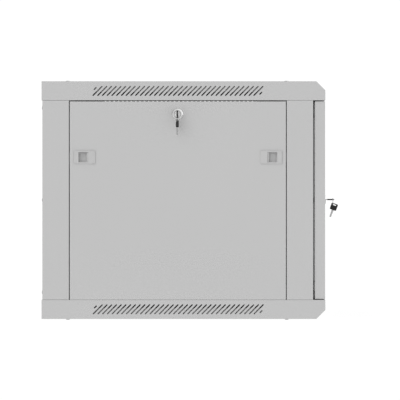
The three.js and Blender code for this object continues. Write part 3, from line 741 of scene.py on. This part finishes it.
def latch_bolt(name):
    """The sliding bolt: a drafted finger cup in its face, and the tongue."""
    bolt = slab(name, rounded_box(BOLT_U, either_side(BOLT_V), 0.5), *BOLT_W)
    add_on(bolt, slab("tongue", rounded_box(TONGUE_U, either_side(TONGUE_V), 0.6), *TONGUE_W))
    mouth = rounded_box(either_side(CUP_U), either_side(CUP_V), 1.0)
    floor = rounded_box(either_side(CUP_U - CUP_DRAFT), either_side(CUP_V - CUP_DRAFT), 1.0)
    cup = skin(
        "cutter",
        [[(u, v, CUP_FLOOR) for u, v in floor], [(u, v, BOLT_W[1] + 1) for u, v in mouth]],
    )
    carve(bolt, cup)
    return round_edges(bolt, 0.3)


def latch_frame(side, end):
    """Maps a latch's u, v and w to the cabinet: u towards the post, v up, w outwards."""
    hand = SIDES[side]
    away = -1 if end == "front" else 1
    low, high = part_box(f"{side}_latch_{end}_case")
    face = hand * (max(abs(low.x), abs(high.x)) - BEZEL_W[1] * MM)
    near = low.y - BEZEL_U[0] * MM if away > 0 else high.y + BEZEL_U[0] * MM
    return Matrix(
        (
            (0, 0, hand, face),
            (away, 0, 0, near),
            (0, 1, 0, (low.z + high.z) / 2),
            (0, 0, 0, 1),
        )
    )


def latches():
    """A front and a rear latch in each side panel."""
    for side in SIDES:
        for end in ("front", "rear"):
            place = latch_frame(side, end)
            case = f"{side}_latch_{end}_case"
            bolt = f"{side}_latch_{end}_bolt"
            settle(latch_case(f"{case}_fine"), place, f"{side}_panel", "grey_plastic", case)
            settle(latch_bolt(f"{bolt}_fine"), place, f"{side}_latch_{end}", "grey_plastic", bolt)


# ------------------------------------------------------------------ seal, buffers and screws
def door_seal():
    """A foam strip with a domed face, laid round the back of the door."""
    low, high = (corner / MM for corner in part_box("door_seal"))
    half = SEAL_WIDTH / 2
    base, top = low.y, high.y
    section = [(-half, base), (half, base)]
    section += [(half * math.cos(a), base + 1 + (top - base - 1) * math.sin(a)) for a in turn_steps(180, 12)]
    across = (low.x + half, high.x - half)
    up = (low.z + half, high.z - half)
    (left, right), (bottom, ceiling) = across, up
    corners = [(right, bottom, 270), (right, ceiling, 0), (left, ceiling, 90), (left, bottom, 180)]
    rings = []
    for x, z, start in corners:
        centre = (x - math.copysign(SEAL_CORNER, x), z - math.copysign(SEAL_CORNER, z - sum(up) / 2))
        for i in range(SEAL_CORNER_STEPS + 1):
            angle = math.radians(start + 90 * i / SEAL_CORNER_STEPS)
            way = (math.cos(angle), math.sin(angle))
            rings.append(
                [
                    (centre[0] + (SEAL_CORNER + out) * way[0], y, centre[1] + (SEAL_CORNER + out) * way[1])
                    for out, y in section
                ]
            )
    seal = skin("door_seal_foam", rings, closed=True)
    seal.data.shade_smooth()
    settle(seal, Matrix.Identity(4), "door", "seal_rubber", "door_seal")


def door_buffers():
    """Small rubber pads on the front posts, beside the seal, that the closed door rests on."""
    low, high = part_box("post_front_left")
    middle = (low.z + high.z) / 2 / MM
    face = low.y / MM
    half_width = BUFFER_WIDTH / 2
    outline = rounded_box(either_side(half_width), either_side(BUFFER_LENGTH / 2), half_width - 0.1)
    for side, hand in SIDES.items():
        for i, z in enumerate(BUFFER_RISE):
            pad = upright_slab(f"door_buffer_{side}_{i + 1}", outline, -BUFFER_THICK, -TOUCH)
            round_edges(pad, 0.7)
            pad.data.transform(shift(hand * BUFFER_X, face, middle + z))
            pad.data.materials.append(buffer_rubber)
            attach(pad, "root")


def cap_screw(name, head_radius, head_rise):
    """A pan-head screw with a cross recess, along +Z out of the cap's face."""
    shank = SHANK_RADIUS
    crown = head_rise - 0.5
    profile = [(shank - 0.6, -SHANK_LENGTH)]
    profile += threaded(shank, 0.4 - SHANK_LENGTH, -1.0)
    profile += [(shank, -0.8), (shank, 0.2), (head_radius, 0.2)]
    profile += [
        (head_radius * math.cos(a) ** 0.6 + 0.02, 0.45 + crown * math.sin(a))
        for a in turn_steps(80, 8)
    ]
    screw = lathe(name, profile, steps=32)
    arms = []
    for share_x, share_y in RECESS_ARMS:
        across, up = either_side(head_radius * share_x), either_side(head_radius * share_y)
        outline = rounded_box(across, up, 0.2, steps=2)
        arms.append(slab("cutter", outline, head_rise - RECESS_DEPTH, head_rise + 1))
    carve(screw, add_on(*arms))
    return round_edges(screw, 0.1, segments=2)


def cap_screws():
    """The screws that hold the roof and floor caps on the corner posts."""
    upside_down = Matrix.Rotation(math.pi, 4, "X")
    for side in SIDES:
        for end in ("front", "rear"):
            for cap, turn in (("top", Matrix.Identity(4)), ("bottom", upside_down)):
                node = f"{cap}_screw_{end}_{side}"
                low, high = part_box(node)
                middle = (low + high) / 2
                radius = (high.x - low.x) / 2 / MM
                rise = HEAD_RISE[cap]
                face = high.z - rise * MM if cap == "top" else low.z + rise * MM
                place = Matrix.Translation((middle.x, middle.y, face)) @ turn
                settle(cap_screw(f"{node}_fine", radius, rise), place, "root", "zinc_steel", node)


def back_screws():
    """Low button-head screws that hold the back panel's frame to the rear posts."""
    low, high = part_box("post_rear_left")
    middle = (low.z + high.z) / 2
    radius = BACK_SCREW_RADIUS
    profile = [(radius - 0.3, TOUCH), (radius, TOUCH + 0.15)]
    profile += [
        (radius * math.cos(a) + 0.02, 0.2 + BACK_SCREW_DOME * math.sin(a))
        for a in turn_steps(180, 24)[:12]
    ]
    for side, hand in SIDES.items():
        for i, rise in enumerate(BACK_SCREW_RISE):
            screw = lathe(f"back_screw_{side}_{i + 1}", profile, steps=32)
            carve(screw, slab("cutter", hexagon(SOCKET_RADIUS), SOCKET_FLOOR, 3))
            round_edges(screw, 0.1, segments=2)
            place = Matrix.Translation((hand * BACK_SCREW_X * MM, high.y, middle + rise * MM))
            settle(screw, place @ Matrix.Rotation(-math.pi / 2, 4, "X"), "root", "zinc_steel")


# ------------------------------------------------------------------ CAD nodes that stay
def soften(piece, radius):
    """Joins a CAD node's facets, drops flat edges and rounds the sharp ones."""
    weld = piece.modifiers.new("weld", "WELD")
    weld.merge_threshold = 0.01 * MM
    flat = piece.modifiers.new("flat", "DECIMATE")
    flat.decimate_type = "DISSOLVE"
    flat.angle_limit = math.radians(1)
    round_edges(piece, radius, angle=40, segments=2)


def kept_nodes():
    """Paints and softens the CAD nodes that no finer piece replaces."""
    for name, node in frame["nodes"].items():
        if not node.hide_render:
            paint(node, record_slots[name])
            soften(node, FOLD_RADIUS)


# ------------------------------------------------------------------ stage, light and camera
def white_floor():
    """White to the camera, dimmer in reflections so that chrome shows a dark lower edge."""
    floor_z = CAD_BOX[0][2] - FLOOR_DROP * MM
    bpy.ops.mesh.primitive_plane_add(size=FLOOR_SIZE, location=(0, 0, floor_z))
    floor = bpy.context.object
    floor.name = "floor"
    n = Nodes("floor")
    path = n.add("ShaderNodeLightPath")
    level = n.spread(path.outputs["Is Glossy Ray"], FLOOR_GLOW, FLOOR_REFLECTED, 0, 1)
    glow = n.add("ShaderNodeEmission", Color=grey(1.0), Strength=level)
    matte = n.add("ShaderNodeBsdfDiffuse", Color=grey(FLOOR_MATTE))
    both = n.add("ShaderNodeAddShader")
    n.feed(both.inputs[0], glow.outputs[0])
    n.feed(both.inputs[1], matte.outputs[0])
    floor.data.materials.append(n.output(both.outputs[0]))


def sky():
    """White behind the object, an even grey for its light, and reflections darker to the rear."""
    world = bpy.data.worlds.new("studio")
    bpy.context.scene.world = world
    world.use_nodes = True
    tree = world.node_tree
    tree.nodes.clear()

    def add(kind, **inputs):
        node = tree.nodes.new(kind)
        for name, value in inputs.items():
            socket = node.inputs[name]
            if isinstance(value, bpy.types.NodeSocket):
                tree.links.new(value, socket)
            else:
                socket.default_value = value
        return node

    def choose(when, usual, instead):
        node = add("ShaderNodeMixShader")
        for socket, source in zip(node.inputs, (when, usual, instead)):
            tree.links.new(source, socket)
        return node.outputs[0]

    path = add("ShaderNodeLightPath").outputs
    way = add("ShaderNodeTexCoord").outputs["Generated"]
    rearward = add("ShaderNodeSeparateXYZ", Vector=way).outputs["Y"]
    slope = add("ShaderNodeMapRange", Value=rearward)
    for socket, number in zip(slope.inputs[1:5], (*SKY_TURN, SKY_FRONT, SKY_REAR)):
        socket.default_value = number
    white = add("ShaderNodeBackground", Color=grey(1.0), Strength=SKY_SEEN).outputs[0]
    even = add("ShaderNodeBackground", Color=grey(1.0), Strength=SKY_EVEN).outputs[0]
    mirrored = add("ShaderNodeBackground", Color=grey(1.0), Strength=slope.outputs[0]).outputs[0]
    light = choose(path["Is Glossy Ray"], even, mirrored)
    add("ShaderNodeOutputWorld", Surface=choose(path["Is Camera Ray"], light, white))


def sun():
    """A broad soft key light, left out of reflections."""
    light = bpy.data.lights.new("key", "SUN")
    light.energy = SUN_STRENGTH
    light.angle = math.radians(SUN_SPREAD)
    lamp = bpy.data.objects.new("key", light)
    lamp.visible_glossy = False
    bpy.context.scene.collection.objects.link(lamp)
    lamp.rotation_euler = Vector(SUN_WAY).to_track_quat("-Z", "Y").to_euler()


def camera():
    """Looks square on at the left side panel, with a long lens."""
    lens = bpy.data.cameras.new("camera")
    lens.sensor_width = SENSOR
    lens.lens = SENSOR * CAMERA_DISTANCE / VIEW_WIDTH
    lens.clip_end = CAMERA_REACH
    view = bpy.data.objects.new("camera", lens)
    bpy.context.scene.collection.objects.link(view)
    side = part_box("left_side_panel")[0].x
    view.location = (side - CAMERA_DISTANCE, *VIEW_CENTRE)
    view.rotation_euler = Vector((1, 0, 0)).to_track_quat("-Z", "Y").to_euler()
    bpy.context.scene.camera = view


for side in SIDES:
    lock_set(side, f"{side}_panel", LOCKS["side"], SIDE_KEYS)
lock_set("door", "door", LOCKS["door"], DOOR_KEYS)
latches()
door_seal()
door_buffers()
cap_screws()
back_screws()
kept_nodes()
white_floor()
sky()
sun()
camera()
bpy.context.scene.view_settings.view_transform = "Standard"
